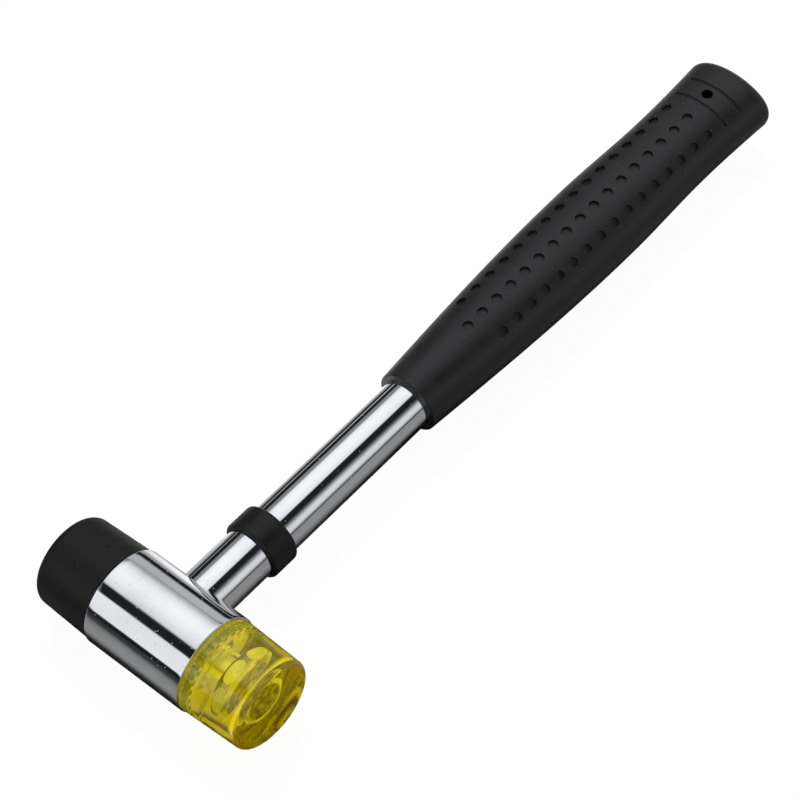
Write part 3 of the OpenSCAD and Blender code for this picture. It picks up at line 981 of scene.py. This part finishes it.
# Hexagon that was turned to a slight barrel, which leaves oval flats, with a dished top
def hexHead(grow=0.0):
    low, height = bolt["headLow"] - grow, bolt["headHeight"] + 2 * grow
    top = low + height
    dropSelection()
    bpy.ops.mesh.primitive_cylinder_add(vertices=6, radius=boltCorner + grow, depth=height,
                                        location=(0, 0, low + height / 2), rotation=(0, 0, quarterTurn))
    head = bpy.context.object
    seat(head, head.matrix_world.copy())

    def barrelled(z):
        fromMiddle = abs(2 * (z - low) / height - 1)
        return bolt["waist"] + grow - bolt["bulge"] * fromMiddle ** bolt["bulgePower"]

    dish, depth = bolt["dishRadius"], bolt["dishDepth"]
    outline = [(0, low), (barrelled(low), low)]
    outline += stretch(low, top, bolt["headRings"], barrelled)
    outline += [(barrelled(top), top), (dish, top), (dish - depth, top - depth), (0, top - depth)]
    combine(head, spinOutline("turned", outline, bolt["steps"]), "INTERSECT")
    return head


def buildBolt(side, name, body, node, finish):
    piece = hexHead()
    rename(piece, name)
    root, radius, pitch = bolt["rootRadius"], bolt["radius"], bolt["pitch"]
    neckLow = bolt["threadTop"] - pitch / 2
    outline = [(0, neckLow), (root, neckLow), (radius, neckLow + pitch), (radius, neckTop), (0, neckTop)]
    combine(piece, spinOutline("neck", outline, bolt["steps"]), "UNION")
    combine(piece, threadedShank(), "UNION")
    seat(piece, toHeadSide(side) @ Matrix.Rotation(bolt["turn"][side], 4, "Z"))
    dress(piece, finish, body, node, bolt["sharp"])


washer = {
    "radius": 11.0 * mm, "toothDepth": 1.2 * mm, "thickness": 2.5 * mm, "hole": 4.08 * mm,
    "teeth": 24, "tipShare": 0.45, "rootShare": 0.70, "holeSteps": 72,
    "bevel": 0.12 * mm, "bevelSegments": 2, "bevelAngle": 40, "sharp": 30,
}


# Toothed washer: its outline drawn tooth by tooth, filled, drawn up, drilled and bevelled
def buildWasher(side, name, body, node, finish):
    tip, root = washer["radius"], washer["radius"] - washer["toothDepth"]
    step = fullTurn / washer["teeth"]
    corners = [(root, -washer["rootShare"] / 2), (tip, -washer["tipShare"] / 2),
               (tip, washer["tipShare"] / 2), (root, washer["rootShare"] / 2)]
    spots = []
    for i in range(washer["teeth"]):
        for radius, share in corners:
            angle = (i + share) * step
            spots.append(Vector((radius * math.cos(angle), radius * math.sin(angle), 0)))
    piece = drawLine(name, spots)
    bpy.ops.mesh.edge_face_add()
    bpy.ops.mesh.extrude_region_move(TRANSFORM_OT_translate={"value": (0, 0, washer["thickness"])})
    cleanMesh()
    drill = drillBit(washer["hole"], -washer["thickness"], 2 * washer["thickness"], washer["holeSteps"])
    combine(piece, drill, "DIFFERENCE")
    pick(piece)
    bevel = piece.modifiers.new("edges", "BEVEL")
    bevel.width = washer["bevel"]
    bevel.segments = washer["bevelSegments"]
    bevel.limit_method = "ANGLE"
    bevel.angle_limit = math.radians(washer["bevelAngle"])
    bpy.ops.object.modifier_apply(modifier="edges")
    seat(piece, toHeadSide(side))
    dress(piece, finish, body, node, washer["sharp"])


face = {
    "baseRadius": 14.6 * mm, "endRadius": 13.95 * mm, "length": 20.4 * mm, "gap": 0.25 * mm,
    "edge": {-1: 1.7 * mm, 1: 3.0 * mm}, "edgeSteps": 16, "baseEdge": 0.25 * mm, "baseSteps": 4,
    "recessRadius": 11.3 * mm, "recessDepth": 2.46 * mm,
    "steps": 192, "rings": 12, "endRings": (0.75, 0.5, 0.25, 0), "sharp": 30,
}
faceRubber = {
    "dark": (0.0018, 0.0017, 0.0019, 1), "light": (0.0042, 0.0040, 0.0043, 1), "cloudScale": 210,
    "grainScale": 2400, "grainHeight": 0.012 * mm, "swellScale": 140, "swellHeight": 0.10 * mm,
    "rubStretch": (1, 0.35, 1), "rubScale": 170, "rubShare": 0.5, "rubColour": (0.012, 0.011, 0.011, 1),
    "rubShine": 0.05, "speckScale": 800, "speckColour": (0.14, 0.13, 0.13, 1),
    "roughness": 0.50, "roughRange": 0.10, "gloss": 0.40, "sheen": 0.0,
}


# Tapered face with a recess for the washer and the cast of its bolt inside
def buildFace(side, name, body, node, finish):
    base, end, gap, edge = face["baseRadius"], face["endRadius"], face["gap"], face["edge"][side]
    recess, depth, soft = face["recessRadius"], face["recessDepth"], face["baseEdge"]
    top = gap + face["length"]
    sideTop = top - edge

    def sideRadius(height):
        return base + (end - base) * (height - gap) / (sideTop - gap)

    cast = bolt["radius"] - bolt["inset"]
    outline = [(0, neckTop), (cast, neckTop), (cast, depth), (recess, depth)]
    outline += [(recess, gap + soft), (recess + soft, gap)]
    outline += arc((base - soft, gap + soft), soft, -quarterTurn, face["baseSteps"])
    outline += stretch(gap + soft, sideTop, face["rings"], sideRadius)
    outline += arc((end - edge, sideTop), edge, 0, face["edgeSteps"])
    outline += [((end - edge) * share, top) for share in face["endRings"]]
    piece = spinOutline(name, outline, face["steps"])
    head = hexHead(-bolt["inset"])
    head.data.transform(Matrix.Rotation(bolt["turn"][side], 4, "Z"))
    combine(piece, head, "DIFFERENCE")
    seat(piece, toHeadSide(side))
    dress(piece, finish, body, node, face["sharp"])


# Making

bpy.context.scene.view_settings.view_transform = "Standard"
addCamera()
buildWorld()
buildFloor()
addKeyLight()
print("studio ready")

chromePlate = chromeFinish()
buildBarrel(chromePlate)
buildTube(chromePlate)
buildCollar(rubberFinish("collarRubber", collarRubber))
buildGrip(rubberFinish("gripRubber", gripRubber))
print("handle ready")

platedSteel = steelFinish()
blackRubber = rubberFinish("faceRubber", faceRubber)
buildWasher(-1, "clear_washer_ring", "clear_washer", "clear_face_washer", platedSteel)
buildWasher(1, "rubber_washer_ring", "rubber_washer", "rubber_face_washer", platedSteel)
buildBolt(-1, "clear_bolt", "clear_head", "clear_face_bolt", platedSteel)
buildBolt(1, "rubber_bolt", "rubber_head", "rubber_face_bolt", platedSteel)
buildFace(-1, "clear_tip", "clear_head", "clear_face", clearFinish())
buildFace(1, "rubber_tip", "rubber_head", "rubber_face", blackRubber)
print("faces ready")

bpy.context.view_layer.update()
